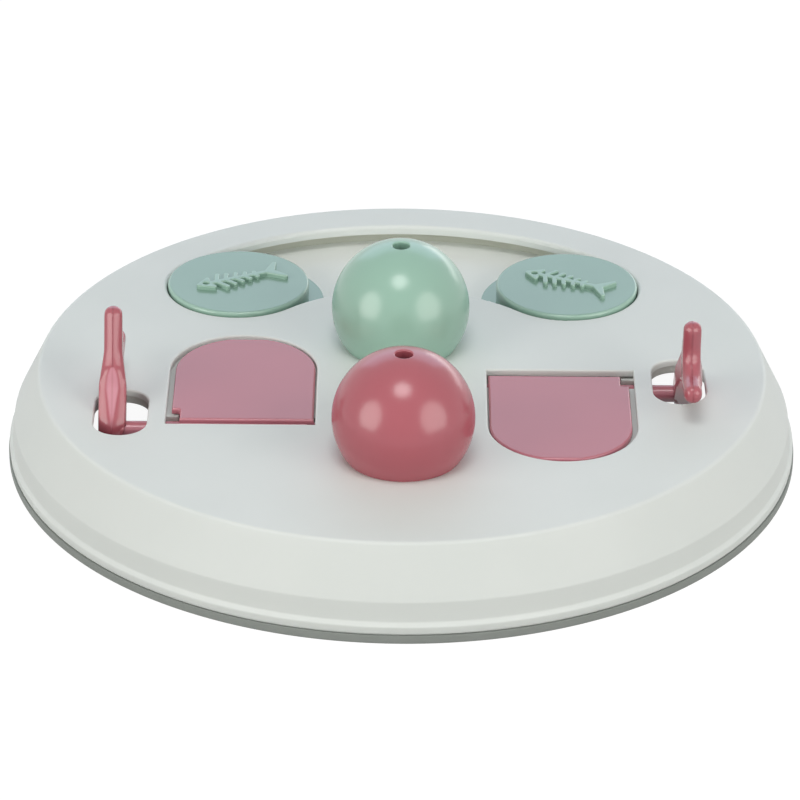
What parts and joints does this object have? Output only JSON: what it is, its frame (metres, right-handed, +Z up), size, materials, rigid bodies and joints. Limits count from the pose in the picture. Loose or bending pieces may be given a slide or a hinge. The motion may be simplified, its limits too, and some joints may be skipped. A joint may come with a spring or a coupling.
{
  "type": "pet puzzle board",
  "caption": "Round pet puzzle board with lift-off domes, hook levers that flip lids over treat cups, and discs that slide along a curved slot to uncover treat wells.",
  "frame": {"origin": "middle of the soft ring's underside, on the surface that the board stands on", "axes": "+Z up; -Y towards the pink dome, the side the picture is taken from; +X to the right in the picture"},
  "size_m": [0.2506, 0.2506, 0.0635],
  "materials": {
    "board_grey": "matte moulded polypropylene, light grey",
    "tray_grey": "matte moulded polypropylene, light grey",
    "ring_rubber": "soft moulded TPR, mid grey",
    "sage_green": "satin moulded ABS, sage green",
    "dusty_pink": "satin moulded ABS, dusty pink",
    "screw_steel": "zinc-plated self-tapping screws"
  },
  "bodies": {
    "board": {"top_shell": "board_grey", "grip_ring": "ring_rubber", "slider_track": "tray_grey", "left_treat_cup": "tray_grey", "right_treat_cup": "tray_grey", "front_dome_cup": "tray_grey", "rear_dome_cup": "tray_grey", "left_slider_cup": "tray_grey", "right_slider_cup": "tray_grey", "tray_screws": "screw_steel"},
    "left_flap": {"left_lid": "dusty_pink", "left_lever": "dusty_pink"},
    "right_flap": {"right_lid": "dusty_pink", "right_lever": "dusty_pink"},
    "left_disc": {"left_slider": "sage_green"},
    "right_disc": {"right_slider": "sage_green"},
    "front_cover": {"front_dome": "dusty_pink"},
    "rear_cover": {"rear_dome": "sage_green"}
  },
  "joints": [
    {"name": "left_flap_hinge", "type": "hinge", "parent": "board", "child": "left_flap", "pos_m": [-0.0501, -0.03576, 0.0238], "axis": [1, 0, 0], "range_deg": [0, 75]},
    {"name": "right_flap_hinge", "type": "hinge", "parent": "board", "child": "right_flap", "pos_m": [0.0501, -0.00877, 0.0238], "axis": [-1, 0, 0], "range_deg": [0, 75]},
    {"name": "left_disc_slide", "type": "hinge", "parent": "board", "child": "left_disc", "pos_m": [0, 0, 0.0291], "axis": [0, 0, -1], "range_deg": [0, 22.5]},
    {"name": "right_disc_slide", "type": "hinge", "parent": "board", "child": "right_disc", "pos_m": [0, 0, 0.0291], "axis": [0, 0, 1], "range_deg": [0, 22.5]},
    {"name": "front_dome_lift", "type": "slide", "parent": "board", "child": "front_cover", "axis": [0, 0, 1], "range_m": [0, 0.06]},
    {"name": "rear_dome_lift", "type": "slide", "parent": "board", "child": "rear_cover", "axis": [0, 0, 1], "range_m": [0, 0.06]}
  ]
}
